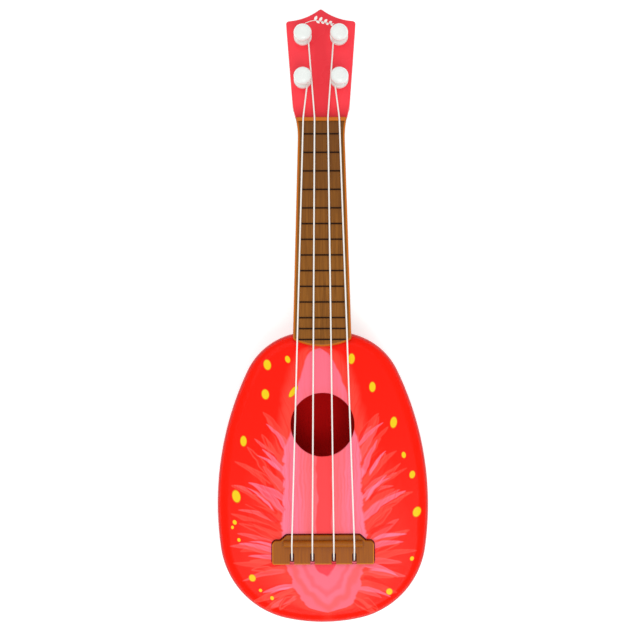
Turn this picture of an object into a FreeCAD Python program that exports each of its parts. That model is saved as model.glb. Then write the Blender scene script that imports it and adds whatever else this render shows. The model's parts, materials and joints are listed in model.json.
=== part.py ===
"""A child's four-string toy guitar of moulded plastic, lying on its back.

The row frame has +Z out of the soundboard, +Y along the neck towards the head and the origin under
the middle of the guitar, at the level of the table. Sizes are millimetres.
"""
import FreeCAD, Part
import math
import os
from types import SimpleNamespace

import Sketcher
from FreeCAD import Placement, Rotation, Vector

# alias, value, what it is. Angles are degrees.
DIMENSIONS = [
    ("half_width", 61.45, "casing: half of its greatest width"),
    ("widest_at", -110.6, "casing: station of its greatest width"),
    ("tail_reach", 68.9, "casing: from the greatest width to the tail"),
    ("crown_reach", 100.6, "casing: from the greatest width to the neck end"),
    ("tail_radius", 100.0, "casing outline: arc across the tail"),
    ("hip_radius", 49.4, "casing outline: arc round each hip"),
    ("flank_radius", 180.0, "casing outline: long arc up each side"),
    ("shoulder_radius", 39.4, "casing outline: arc round each shoulder"),
    ("crown_radius", 140.0, "casing outline: arc across the neck end"),
    ("casing_depth", 36.0, "casing: table to soundboard"),
    ("parting", 18.0, "casing: height of the joint between the two shells"),
    ("wall", 2.2, "casing: wall thickness"),
    ("front_rim", 6.5, "casing: outside radius of the front edge"),
    ("back_rim", 7.0, "casing: outside radius of the back edge"),
    ("lip_height", 1.6, "casing joint: height of the tongue"),
    ("lip_inset", 1.1, "casing joint: from the outline to the tongue"),
    ("play", 0.15, "clearance between pieces that slot together"),
    ("hole_radius", 18.4, "sound hole: radius"),
    ("hole_at", -64.1, "sound hole: station of its centre"),
    ("boss_radius", 3.6, "casing screw bosses: outside radius"),
    ("boss_meet", 13.0, "casing screw bosses: height where front and back ones meet"),
    ("hole_edge", 0.6, "sound hole: rounding of its edge"),
    ("rest_gap", 0.02, "gap between faces that rest on each other"),
    ("overlap", 0.5, "how far an added block runs into the wall that carries it"),
    ("tube_radius", 4.4, "back shell screw tubes: outside radius"),
    ("screw_radius", 1.4, "body and neck screws: shank radius"),
    ("screw_head_radius", 2.7, "body and neck screws: head radius"),
    ("screw_head_height", 1.9, "body and neck screws: head height"),
    ("screw_length", 11.0, "body and neck joint screws: shank length"),
    ("pilot_radius", 1.42, "pilot bores for all of those screws: radius"),
    ("well_floor", 2.6, "back shell screw tubes: thickness of the floor under each screw head"),
    ("neck_well", 4.0, "neck screws: depth of the wells in the neck's back"),
    ("neck_bore", 4.9, "neck screws: depth of the pilot bores in the fingerboard"),
    ("neck_screw_length", 11.6, "neck screws: shank length"),
    ("bridge_screw_length", 5.6, "bridge screws: shank length"),
    ("bridge_bore", 4.3, "bridge screws: depth of the pilot bores in the bridge"),
    ("head_screw_length", 8.0, "head screws: shank length"),
    ("neck_floor", 22.0, "neck: height of its back face"),
    ("neck_seam", 33.0, "neck: height of the seam under the fingerboard"),
    ("neck_wall", 2.4, "neck: wall thickness"),
    ("neck_round", 7.0, "neck: radius of its back edges"),
    ("neck_end_half", 13.45, "neck: half width where its straight sides meet the flare"),
    ("neck_end_at", 107.4, "neck: station where its straight sides meet the flare"),
    ("neck_root_half", 16.9, "neck: half width at the casing"),
    ("neck_root_at", -11.0, "neck: station of the casing end"),
    ("flare_radius", 50.0, "neck: concave arc where it flares to the head"),
    ("heel_reach", 3.0, "neck: how far the fingerboard's heel runs into the casing"),
    ("notch_reach", 5.8, "casing notch: how far it is cut for the neck's tongue"),
    ("joint_bore", 8.9, "neck joint screws: depth of the pilot bores in the front shell"),
    ("joint_boss_gap", 0.05, "neck joint bosses: gap above the tongue's floor"),
    ("tongue_at", -39.0, "neck: station of the inner end of its tongue"),
    ("nut_at", 113.8, "head hinge line: front edge of the nut"),
    ("nut_half", 14.86, "neck: half width at the nut"),
    ("nut_width", 2.2, "nut: length along the strings"),
    ("nut_rise", 1.7, "nut: height above the fingerboard"),
    ("board_top", 39.6, "fingerboard: height of its playing face"),
    ("board_end", -22.5, "fingerboard: station where the tangents of its end arc meet"),
    ("board_corner_at", -14.6, "fingerboard: station of the corners of its end"),
    ("board_end_radius", 37.0, "fingerboard: arc across its rounded end"),
    ("board_edge", 1.5, "fingerboard: rounding of its long edges"),
    ("fret_inset", 3.3, "frets: distance of their ends from the board's edge"),
    ("fret_width", 0.75, "frets: width"),
    ("fret_sink", 0.8, "frets: depth let into the board"),
    ("fret_rise", 0.45, "frets: height above the board"),
    ("first_fret", 104.2, "frets: station of the first one"),
    ("head_tilt", 14.0, "head: angle that it leans back"),
    ("cover_thickness", 5.0, "head cover: thickness"),
    ("head_back", 7.0, "head: thickness of the back part"),
    ("head_wall", 2.0, "head: wall and face thickness"),
    ("cover_edge", 1.2, "head cover: rounding of its front edge"),
    ("slab_start", 4.0, "head: hinge line to the lower end of the back slab"),
    ("head_bend_at", 7.83, "head: hinge line to the bend in its sides"),
    ("tip_reach", 68.0, "head: hinge line to the pointed tip"),
    ("head_half", 20.55, "head: half width at its top corners"),
    ("head_corner_at", 60.3, "head: hinge line to its top corners"),
    ("lower_pegs", 23.0, "tuners: hinge line to the lower pair"),
    ("upper_pegs", 49.9, "tuners: hinge line to the upper pair"),
    ("peg_spread", 10.6, "tuners: distance from the centre line"),
    ("shaft_radius", 2.9, "tuners: shaft radius"),
    ("shaft_play", 0.08, "tuners: radial clearance of the shaft"),
    ("flange_radius", 5.25, "tuners: radius of the cap and of the lower flange"),
    ("spool_radius", 2.6, "tuners: radius that the string winds on"),
    ("spool_low", 1.9, "tuners: top of the lower flange above the head"),
    ("spool_high", 6.6, "tuners: underside of the cap above the head"),
    ("cap_top", 10.0, "tuners: top of the cap above the head"),
    ("shaft_end", -18.2, "tuners: end of the shaft, from the head's face"),
    ("shaft_end_radius", 2.0, "tuners: radius of the shaft's end, inside the knob"),
    ("knob_height", 7.6, "tuner knobs: height"),
    ("hub_radius", 4.4, "tuner knobs: radius of the hub"),
    ("wing_half", 1.4, "tuner knobs: half thickness of the wings"),
    ("wing_reach", 7.2, "tuner knobs: reach of the wings"),
    ("washer_radius", 4.8, "tuner washers: radius"),
    ("washer_thickness", 0.6, "tuner washers: thickness"),
    ("small_screw_radius", 0.9, "tuner screws: shank radius"),
    ("small_head_radius", 1.9, "tuner screws: head radius"),
    ("small_head_height", 1.1, "tuner screws: head height"),
    ("small_screw_length", 5.8, "tuner screws: shank length"),
    ("winding_low", 2.7, "string windings: lowest level above the head"),
    ("spool_line", 3.05, "strings: offset of the string from its tuner's axis"),
    ("spool_stop", 2.7, "strings: where the straight run stops short of its tuner's axis"),
    ("string_dip", 37.0, "strings: height where they turn down into the soundboard"),
    ("string_radius", 0.45, "strings: radius"),
    ("string_nut_outer", 10.4, "outer strings: distance from the centre line at the nut"),
    ("string_nut_inner", 3.85, "inner strings: distance from the centre line at the nut"),
    ("string_tail_outer", 18.05, "outer strings: distance from the centre line at the bridge"),
    ("string_tail_inner", 6.2, "inner strings: distance from the centre line at the bridge"),
    ("bridge_tail", -144.8, "bridge: station of its tail edge"),
    ("bridge_half", 29.4, "bridge: half width"),
    ("bridge_wing_at", -131.1, "bridge: station of the wings' front edge"),
    ("bridge_front_at", -127.9, "bridge: station of its front edge"),
    ("bridge_front_half", 21.0, "bridge: half width of its front edge"),
    ("bridge_shoulder_half", 24.6, "bridge: half width where the shoulders meet the wings"),
    ("bridge_seat", 0.7, "bridge: depth of its seat in the soundboard"),
    ("bridge_edge", 0.8, "bridge: rounding of its top edge"),
    ("bridge_top", 39.0, "bridge: height of its top face"),
    ("seat_gap", 0.6, "bridge: gap in the seat at its sides and its front"),
    ("saddle_at", -132.7, "saddle ridge: station of its crest"),
    ("saddle_half", 22.8, "saddle ridge: half length"),
    ("saddle_radius", 1.8, "saddle ridge: radius of its section"),
    ("saddle_crest", 42.3, "saddle ridge: height of its crest"),
    ("slot_at", -138.0, "bridge slots: station of their closed end"),
    ("slot_half", 1.3, "bridge slots: half width"),
    ("string_hole_at", -142.9, "string holes: station"),
    ("string_hole_radius", 0.8, "string holes: radius"),
    ("knot_radius", 1.7, "string knots: radius"),
]
FRET_PITCHES = [10.7] * 4 + [9.06] * 7 + [6.3] * 2
BODY_SCREWS = [(34.0, -154.0), (47.5, -112.0), (35.0, -42.0)]  # right-hand side, mirrored
NECK_SCREWS = [8.0, 48.0, 88.0]
JOINT_SCREWS = [-22.0, -33.0]
HEAD_SCREWS = [13.0, 36.5, 58.0]
BRIDGE_SCREWS = [-12.1, 12.1]
SLIM = 1e-4


class Size(float):
    """A length that carries the spreadsheet expression it was worked out from."""

    def __new__(cls, value, text):
        size = float.__new__(cls, value)
        size.text = text
        return size

    def __add__(self, other):
        return Size(float(self) + float(other), f"({self.text} + {text_of(other)})")

    def __sub__(self, other):
        return Size(float(self) - float(other), f"({self.text} - {text_of(other)})")

    def __mul__(self, other):
        return Size(float(self) * float(other), f"({self.text} * {text_of(other)})")

    def __neg__(self):
        return Size(-float(self), f"(0 - {self.text})")

    __radd__ = __add__
    __rmul__ = __mul__


def text_of(number):
    """The expression of a Size, or a plain number as text."""
    return getattr(number, "text", repr(float(number)))


doc = FreeCAD.newDocument("toy_guitar")
D = SimpleNamespace(**{alias: Size(value, "Dims." + alias) for alias, value, _ in DIMENSIONS})
PARTS = []


def make_sheet():
    """The spreadsheet of driving dimensions."""
    sheet = doc.addObject("Spreadsheet::Sheet", "Dims")
    for row, (alias, value, note) in enumerate(DIMENSIONS, start=1):
        sheet.set(f"A{row}", note)
        sheet.set(f"B{row}", str(value))
        sheet.setAlias(f"B{row}", alias)
    doc.recompute()


def bind(item, prop, size):
    """Ties a property to the spreadsheet expression that a Size carries."""
    item.setExpression(prop, text_of(size))


def keep(item, label):
    """Marks an object as a finished sub-part."""
    item.Label = label
    PARTS.append(item)
    return item


def new_body(name, at=None, tilted=False):
    """A PartDesign body. A tilted one stands in the head's frame: +Y up the head, +Z out of its face."""
    body = doc.addObject("PartDesign::Body", name)
    if tilted:
        body.Placement = Placement(Vector(0, 0, 0), Rotation(Vector(1, 0, 0), -D.head_tilt))
        bind(body, "Placement.Rotation.Angle", -D.head_tilt)
        bind(body, "Placement.Base.y", D.nut_at)
        bind(body, "Placement.Base.z", face_height())
    if at is not None:
        for axis, value in zip("xyz", at):
            bind(body, f"Placement.Base.{axis}", value)
    return body


def face_height():
    """Height of the head's face at the hinge line, where the cover's underside meets the neck seam."""
    lean = math.cos(math.radians(D.head_tilt))
    text = f"({D.neck_seam.text} + {D.cover_thickness.text} / cos({D.head_tilt.text} * 1 deg))"
    return Size(D.neck_seam + D.cover_thickness / lean, text)


def sketch_on(body, name, plane="XY_Plane", lift=0.0):
    """A sketch on one of the body's own planes, lifted along the plane's normal."""
    sketch = body.newObject("Sketcher::SketchObject", name)
    origin = [f for f in body.Origin.OriginFeatures if f.Role == plane][0]
    sketch.AttachmentSupport = [(origin, "")]
    sketch.MapMode = "FlatFace"
    sketch.AttachmentOffset = Placement(Vector(0, 0, float(lift)), Rotation())
    bind(sketch, "AttachmentOffset.Base.z", lift)
    return sketch


def fix(sketch, kind, *where_and_size):
    """Adds one dimension to a sketch and ties it to the sheet."""
    *where, size = where_and_size
    number = sketch.addConstraint(Sketcher.Constraint(kind, *where, float(size)))
    bind(sketch, f"Constraints[{number}]", size)


def fix_point(sketch, geometry, point, x, y):
    """Dimensions one point from the sketch's origin; a zero puts it on the axis."""
    for kind, size, axis in (("DistanceX", x, -2), ("DistanceY", y, -1)):
        if float(size) == 0.0:
            sketch.addConstraint(Sketcher.Constraint("PointOnObject", geometry, point, axis))
        else:
            fix(sketch, kind, -1, 1, geometry, point, size)


def add_circle(sketch, x, y, radius):
    """A dimensioned circle."""
    circle = sketch.addGeometry(Part.Circle(Vector(x, y, 0), Vector(0, 0, 1), float(radius)), False)
    fix_point(sketch, circle, 3, x, y)
    fix(sketch, "Radius", circle, radius)


def add_outline(sketch, corners):
    """A closed outline through (x, y, radius) corners; a radius rounds its corner by a tangent arc."""
    count = len(corners)
    points = [Vector(x, y, 0) for x, y, _ in corners]
    trims = []
    for i, (_, _, radius) in enumerate(corners):
        before = (points[i - 1] - points[i]).normalize()
        after = (points[(i + 1) % count] - points[i]).normalize()
        half_turn = (math.pi - before.getAngle(after)) / 2
        trims.append((before, after, float(radius) * math.tan(half_turn)))
    lines, arcs = [], []
    for i in range(count):
        j = (i + 1) % count
        start = points[i] + trims[i][1] * trims[i][2]
        end = points[j] + trims[j][0] * trims[j][2]
        lines.append(sketch.addGeometry(Part.LineSegment(start, end), False))
    for i, (x, y, radius) in enumerate(corners):
        before, after, trim = trims[i]
        if not radius:
            sketch.addConstraint(Sketcher.Constraint("Coincident", lines[i - 1], 2, lines[i], 1))
            fix_point(sketch, lines[i], 1, x, y)
            continue
        inward = (before + after).normalize()
        reach = math.hypot(trim, float(radius))
        middle = points[i] + inward * (reach - float(radius))
        arc = Part.Arc(points[i] + before * trim, middle, points[i] + after * trim)
        number = sketch.addGeometry(arc, False)
        arcs.append(number)
        turns_left = before.cross(after).z < 0
        first, last = (1, 2) if turns_left else (2, 1)
        sketch.addConstraint(Sketcher.Constraint("Tangent", lines[i - 1], 2, number, first))
        sketch.addConstraint(Sketcher.Constraint("Tangent", number, last, lines[i], 1))
        fix(sketch, "Radius", number, radius)
        corner = sketch.addGeometry(Part.Point(points[i]), True)
        fix_point(sketch, corner, 1, x, y)
        sketch.addConstraint(Sketcher.Constraint("PointOnObject", corner, 1, lines[i - 1]))
        sketch.addConstraint(Sketcher.Constraint("PointOnObject", corner, 1, lines[i]))


def mirrored(half):
    """Corners of the right-hand side, from tail to head, followed by their mirror images."""
    return list(half) + [(-x, y, radius) for x, y, radius in reversed(half) if float(x) != 0.0]


def meeting(centre_a, reach_a, centre_b, reach_b):
    """The right-hand point at two given distances from two centres."""
    gap = centre_b - centre_a
    along = (reach_a**2 - reach_b**2 + gap.Length**2) / (2 * gap.Length)
    across = math.sqrt(reach_a**2 - along**2)
    unit = gap.normalize()
    side = Vector(-unit.y, unit.x, 0) * across
    return max(centre_a + unit * along + side, centre_a + unit * along - side, key=lambda p: p.x)


def add_egg(sketch, inset=0.0):
    """The casing's egg outline of eight tangent arcs, moved inwards by inset."""
    tail_y = D.widest_at - D.tail_reach + inset
    crown_y = D.widest_at + D.crown_reach - inset
    radii = [r - inset for r in (D.tail_radius, D.hip_radius, D.flank_radius,
                                 D.shoulder_radius, D.crown_radius)]
    tail, hip, flank, shoulder, crown = radii
    tail_centre = Vector(0, tail_y + tail, 0)
    crown_centre = Vector(0, crown_y - crown, 0)
    flank_centre = Vector(D.half_width - inset - flank, D.widest_at, 0)
    hip_centre = meeting(tail_centre, tail - hip, flank_centre, flank - hip)
    shoulder_centre = meeting(crown_centre, crown - shoulder, flank_centre, flank - shoulder)
    centres = [tail_centre, hip_centre, flank_centre, shoulder_centre, crown_centre]
    turns = [-math.pi / 2]
    for i in range(4):
        step = centres[i + 1] - centres[i] if radii[i] > radii[i + 1] else centres[i] - centres[i + 1]
        turns.append(math.atan2(step.y, step.x))
    turns.append(math.pi / 2)

    def arc(centre, radius, start, end):
        circle = Part.Circle(centre, Vector(0, 0, 1), float(radius))
        return sketch.addGeometry(Part.ArcOfCircle(circle, start, end), False)

    right = [arc(centres[i], radii[i], turns[i], turns[i + 1]) for i in (1, 2, 3)]
    left = [arc(Vector(-centres[i].x, centres[i].y, 0), radii[i], math.pi - turns[i + 1],
                math.pi - turns[i]) for i in (3, 2, 1)]
    tail_arc = arc(tail_centre, tail, math.pi - turns[1], turns[1] + 2 * math.pi)
    crown_arc = arc(crown_centre, crown, turns[4], math.pi - turns[4])
    ring = [tail_arc, *right, crown_arc, *left]
    for number, following in zip(ring, ring[1:] + ring[:1]):
        sketch.addConstraint(Sketcher.Constraint("Tangent", number, 2, following, 1))
    for number in (tail_arc, crown_arc):
        sketch.addConstraint(Sketcher.Constraint("PointOnObject", number, 3, -2))
        sketch.addConstraint(Sketcher.Constraint("Horizontal", number, 1, number, 2))
    for mine, mirror in zip(right, reversed(left)):
        sketch.addConstraint(Sketcher.Constraint("Equal", mine, mirror))
    for number, radius in zip((tail_arc, *right, crown_arc), radii):
        fix(sketch, "Radius", number, radius)
    fix(sketch, "DistanceX", -1, 1, right[1], 3, D.half_width - inset - flank)
    fix(sketch, "DistanceY", -1, 1, right[1], 3, D.widest_at)
    fix(sketch, "DistanceY", -1, 1, tail_arc, 3, tail_y + tail)
    fix(sketch, "DistanceY", -1, 1, crown_arc, 3, crown_y - crown)


def pad(body, sketch, name, length, down=False, both=False):
    """Pads a sketch upwards, downwards or both ways along its normal."""
    feature = body.newObject("PartDesign::Pad", name)
    feature.Profile = sketch
    feature.Length = float(length)
    bind(feature, "Length", length)
    feature.Reversed = down
    if both:
        feature.SideType = "Symmetric"
    doc.recompute()
    return feature


def pocket(body, sketch, name, depth, up=False, both=False):
    """Cuts a sketch downwards, upwards or both ways, and checks that something was cut."""
    before = body.Shape.Volume
    feature = body.newObject("PartDesign::Pocket", name)
    feature.Profile = sketch
    feature.Length = float(depth)
    bind(feature, "Length", depth)
    feature.Reversed = up
    if both:
        feature.SideType = "Symmetric"
    doc.recompute()
    if body.Shape.Volume > before - SLIM:
        raise RuntimeError(f"{name} cuts nothing")
    return feature


def round_edges(body, name, radius, wanted):
    """Fillets the edges of the body's last feature that the test accepts."""
    base = body.Tip
    names = [f"Edge{i}" for i, edge in enumerate(base.Shape.Edges, start=1) if wanted(edge)]
    feature = body.newObject("PartDesign::Fillet", name)
    feature.Base = (base, names)
    feature.Radius = float(radius)
    bind(feature, "Radius", radius)
    doc.recompute()
    return feature


def flat_at(height, accept=lambda edge: True):
    """A test for edges that lie wholly at one height of the body's own frame."""
    def test(edge):
        box = edge.BoundBox
        return abs(box.ZMin - height) < 1e-3 and abs(box.ZMax - height) < 1e-3 and accept(edge)
    return test


def pads(body, name, lift, places, radius, length, down=False):
    """Pads equal circles at several places."""
    sketch = sketch_on(body, name + "_outline", lift=lift)
    for x, y in places:
        add_circle(sketch, x, y, radius)
    return pad(body, sketch, name, length, down=down)


def holes(body, name, lift, places, radius, depth, up=False):
    """Cuts equal circles at several places."""
    sketch = sketch_on(body, name + "_outline", lift=lift)
    for x, y in places:
        add_circle(sketch, x, y, radius)
    return pocket(body, sketch, name, depth, up=up)


def both_sides(places):
    """Right-hand places and their mirror images."""
    return [(side * x, y) for x, y in places for side in (1.0, -1.0)]


def head_place(x, along):
    """The row-frame place of a point on the head's face, as three sizes."""
    turn = math.radians(D.head_tilt)
    cosine = Size(math.cos(turn), f"cos({D.head_tilt.text} * 1 deg)")
    sine = Size(math.sin(turn), f"sin({D.head_tilt.text} * 1 deg)")
    return x, D.nut_at + along * cosine, face_height() - along * sine


def string_tails():
    """Distances across the bridge of strings 1 to 4."""
    return [-D.string_tail_outer, -D.string_tail_inner, D.string_tail_inner, D.string_tail_outer]


def string_nuts():
    """Distances across the nut of strings 1 to 4."""
    return [-D.string_nut_outer, -D.string_nut_inner, D.string_nut_inner, D.string_nut_outer]


def peg_places():
    """Places of tuners 1 to 4 on the head's face. The outer strings go to the lower pair."""
    return [
        (-D.peg_spread, D.lower_pegs),
        (-D.peg_spread, D.upper_pegs),
        (D.peg_spread, D.upper_pegs),
        (D.peg_spread, D.lower_pegs),
    ]


def bridge_corners(grow=0.0, grow_tail=0.0):
    """The bridge's plan, grown by one gap at its sides and front and another at its tail."""
    return mirrored([
        (D.bridge_half + grow, D.bridge_tail - grow_tail, 0.9 + float(grow)),
        (D.bridge_half + grow, D.bridge_wing_at + grow, 2.4 + float(grow)),
        (D.bridge_shoulder_half + grow, D.bridge_wing_at + grow, 1.2),
        (D.bridge_front_half + grow, D.bridge_front_at + grow, 1.6 + float(grow)),
    ])


def cut_neck_notch(body, name, floor, top, corner, reach):
    """Cuts a slot for the neck through the casing's wall, between two heights."""
    notch = sketch_on(body, name + "_outline", "XZ_Plane", lift=-D.neck_root_at)
    half = D.neck_root_half + D.play
    add_outline(notch, mirrored([(half, floor, corner), (half, top, 0)]))
    pocket(body, notch, name, reach * 2.0, both=True)


def fret_stations():
    """Stations of the frets, from the nut down."""
    stations = [D.first_fret]
    for pitch in FRET_PITCHES:
        stations.append(stations[-1] - pitch)
    return stations


def fret_half(station):
    """Half length of the fret at one station: it stops short of the board's edge."""
    slope = (D.neck_root_half - D.neck_end_half) * (1.0 / (D.neck_end_at - D.neck_root_at))
    return D.neck_root_half - slope * (station - D.neck_root_at) - D.fret_inset


def make_front_shell():
    """Soundboard and front half of the casing's side, with its screw bosses and the bridge's seat."""
    body = new_body("front_shell")
    top, ceiling = D.casing_depth, D.casing_depth - D.wall
    outline = sketch_on(body, "front_outline", lift=D.parting)
    add_egg(outline)
    pad(body, outline, "front_block", top - D.parting)
    round_edges(body, "front_edge", D.front_rim, flat_at(top))
    inside = sketch_on(body, "front_inside", lift=D.parting)
    add_egg(inside, D.wall)
    pocket(body, inside, "front_cavity", ceiling - D.parting, up=True)
    round_edges(body, "front_inner_edge", D.front_rim - D.wall, flat_at(ceiling))
    rebate = sketch_on(body, "front_rebate_outline", lift=D.parting)
    add_egg(rebate, D.lip_inset)
    pocket(body, rebate, "front_rebate", D.lip_height + D.play, up=True)
    places = both_sides(BODY_SCREWS)
    root, low = ceiling + D.overlap, D.boss_meet + D.rest_gap
    pads(body, "front_bosses", root, places, D.boss_radius, root - low, down=True)
    holes(body, "front_boss_bores", D.boss_meet, places, D.pilot_radius, D.screw_length, up=True)
    places = [(0.0, y) for y in JOINT_SCREWS]
    low = D.neck_floor + D.neck_wall + D.joint_boss_gap
    pads(body, "neck_bosses", root, places, D.boss_radius, root - low, down=True)
    holes(body, "neck_boss_bores", low, places, D.pilot_radius, D.joint_bore, up=True)
    holes(body, "sound_hole", top, [(0.0, D.hole_at)], D.hole_radius, D.wall + 1.0)
    round_edges(body, "sound_hole_edge", D.hole_edge,
                flat_at(top, lambda edge: abs(edge.BoundBox.XLength - 2 * D.hole_radius) < 0.1))
    seat = sketch_on(body, "bridge_seat_outline", lift=top)
    add_outline(seat, bridge_corners(D.seat_gap, D.play))
    pocket(body, seat, "bridge_seat", D.bridge_seat)
    places = [(x, D.string_hole_at) for x in string_tails()]
    holes(body, "string_holes", top, places, D.string_hole_radius, D.wall + 1.0)
    places = [(x, D.saddle_at) for x in BRIDGE_SCREWS]
    holes(body, "bridge_screw_holes", top, places, D.screw_radius + D.play, D.wall + 1.0)
    seam = D.neck_seam + D.rest_gap
    cut_neck_notch(body, "tongue_notch", D.neck_floor - D.play, seam, D.neck_round, D.notch_reach)
    cut_neck_notch(body, "heel_notch", D.neck_seam - 1.0, top + 1.0, 0, D.heel_reach)
    return keep(body, "body_front_shell")


def make_back_shell():
    """Flat-backed half of the casing, with its tongue and screw tubes."""
    body = new_body("back_shell")
    outline = sketch_on(body, "back_outline")
    add_egg(outline)
    pad(body, outline, "back_block", D.parting)
    round_edges(body, "back_edge", D.back_rim, flat_at(0.0))
    inside = sketch_on(body, "back_inside", lift=D.parting)
    add_egg(inside, D.wall)
    pocket(body, inside, "back_cavity", D.parting - D.wall)
    round_edges(body, "back_inner_edge", D.back_rim - D.wall, flat_at(D.wall))
    tongue = sketch_on(body, "tongue_outline", lift=D.parting - 1.0)
    add_egg(tongue, D.lip_inset + D.play)
    add_egg(tongue, D.wall)
    pad(body, tongue, "tongue", D.lip_height + 1.0)
    places = both_sides(BODY_SCREWS)
    root = D.wall - D.overlap
    pads(body, "screw_tubes", root, places, D.tube_radius, D.boss_meet - root)
    holes(body, "screw_holes", D.boss_meet, places, D.screw_radius + 0.2, D.boss_meet)
    holes(body, "screw_wells", 0.0, places, D.screw_head_radius + 0.4, D.boss_meet - D.well_floor, up=True)
    return keep(body, "body_back_shell")


def make_bridge():
    """The bridge: a thin winged base, a round-topped saddle ridge and a slot for each string."""
    body = new_body("bridge_body")
    base = D.casing_depth - D.bridge_seat + D.rest_gap
    plan = sketch_on(body, "bridge_outline", lift=base)
    add_outline(plan, bridge_corners())
    pad(body, plan, "bridge_base", D.bridge_top - base)
    round_edges(body, "bridge_rounding", D.bridge_edge, flat_at(D.bridge_top))
    ridge = sketch_on(body, "saddle_section", "YZ_Plane")
    add_outline(ridge, [
        (D.saddle_at + D.saddle_radius, D.bridge_top - D.overlap, 0),
        (D.saddle_at + D.saddle_radius, D.saddle_crest, D.saddle_radius - 0.1),
        (D.saddle_at - D.saddle_radius, D.saddle_crest, D.saddle_radius - 0.1),
        (D.saddle_at - D.saddle_radius, D.bridge_top - D.overlap, 0),
    ])
    pad(body, ridge, "saddle_ridge", D.saddle_half * 2.0, both=True)
    slots = sketch_on(body, "slot_outlines", lift=D.bridge_top)
    for x in string_tails():
        add_outline(slots, [
            (x - D.slot_half, D.bridge_tail - 1.0, 0),
            (x + D.slot_half, D.bridge_tail - 1.0, 0),
            (x + D.slot_half, D.slot_at, D.slot_half - 0.1),
            (x - D.slot_half, D.slot_at, D.slot_half - 0.1),
        ])
    pocket(body, slots, "string_slots", D.bridge_top - base + 1.0)
    places = [(x, D.saddle_at) for x in BRIDGE_SCREWS]
    holes(body, "bridge_screw_bores", base, places, D.pilot_radius, D.bridge_bore, up=True)
    return keep(body, "bridge")


def make_fingerboard():
    """The neck's front: playing face, fret grooves, nut and the heel that fills the casing's notch."""
    body = new_body("fingerboard_body")
    low = D.casing_depth + D.rest_gap
    plan = sketch_on(body, "board_outline", lift=low)
    add_outline(plan, mirrored([
        (0.0, D.board_end, D.board_end_radius),
        (D.neck_root_half, D.board_corner_at, 2.0),
        (D.neck_root_half, D.neck_root_at, 60.0),
        (D.neck_end_half, D.neck_end_at, D.flare_radius),
        (D.nut_half, D.nut_at, 0),
    ]))
    pad(body, plan, "board_plate", D.board_top - low)
    round_edges(body, "board_edge", D.board_edge,
                flat_at(D.board_top, lambda edge: edge.BoundBox.YMax < D.nut_at - 0.01
                        or edge.BoundBox.YLength > 0.1))
    heel = sketch_on(body, "heel_outline", lift=D.neck_seam)
    add_outline(heel, mirrored([
        (D.neck_root_half, D.neck_root_at - D.heel_reach + D.play, 0),
        (D.neck_root_half, D.neck_root_at, 0),
        (D.neck_end_half, D.neck_end_at, D.flare_radius),
        (D.nut_half, D.nut_at, 0),
    ]))
    pad(body, heel, "heel", D.casing_depth - D.neck_seam + D.overlap)
    hollow = sketch_on(body, "board_hollow_outline", lift=D.neck_seam)
    add_outline(hollow, mirrored([
        (D.neck_root_half - D.neck_wall, D.neck_root_at, 0),
        (D.neck_end_half - D.neck_wall, D.neck_end_at, 0),
    ]))
    for y in NECK_SCREWS:
        add_circle(hollow, 0.0, y, D.boss_radius)
    pocket(body, hollow, "board_hollow", D.board_top - D.neck_seam - D.neck_wall, up=True)
    bores = [(0.0, y) for y in NECK_SCREWS]
    holes(body, "board_bores", D.neck_seam, bores, D.pilot_radius, D.neck_bore, up=True)
    grooves = sketch_on(body, "fret_groove_outlines", lift=D.board_top)
    for y in fret_stations():
        half, wide = fret_half(y) + 0.03, D.fret_width * 0.5 + 0.03
        add_outline(grooves, mirrored([(half, y - wide, 0), (half, y + wide, 0)]))
    pocket(body, grooves, "fret_grooves", D.fret_sink)
    nut = sketch_on(body, "nut_section", "YZ_Plane")
    add_outline(nut, [
        (D.nut_at - D.nut_width, D.board_top - D.overlap, 0),
        (D.nut_at, D.board_top - D.overlap, 0),
        (D.nut_at, D.board_top + D.nut_rise, 0.7),
        (D.nut_at - D.nut_width, D.board_top + D.nut_rise, 0.7),
    ])
    pad(body, nut, "nut", (D.nut_half - 1.0) * 2.0, both=True)
    notches = sketch_on(body, "nut_notch_outlines", "XZ_Plane", lift=-D.nut_at)
    for x in string_nuts():
        add_circle(notches, x, D.board_top + D.nut_rise, D.string_radius + D.play)
    pocket(body, notches, "nut_notches", D.nut_width * 3.0, both=True)
    return keep(body, "fingerboard")


def make_frets():
    """The frets: one bar for each groove, shortening towards the nut."""
    bars = []
    for number, y in enumerate(fret_stations(), start=1):
        bar = doc.addObject("Part::Box", f"fret_bar_{number}")
        half = fret_half(y)
        bind(bar, "Length", half * 2.0)
        bind(bar, "Width", D.fret_width)
        bind(bar, "Height", D.fret_sink - 0.03 + D.fret_rise)
        bind(bar, "Placement.Base.x", -half)
        bind(bar, "Placement.Base.y", y - D.fret_width * 0.5)
        bind(bar, "Placement.Base.z", D.board_top - D.fret_sink + 0.03)
        bars.append(bar)
    frets = doc.addObject("Part::Compound", "fret_set")
    frets.Links = bars
    return keep(frets, "frets")


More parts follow.
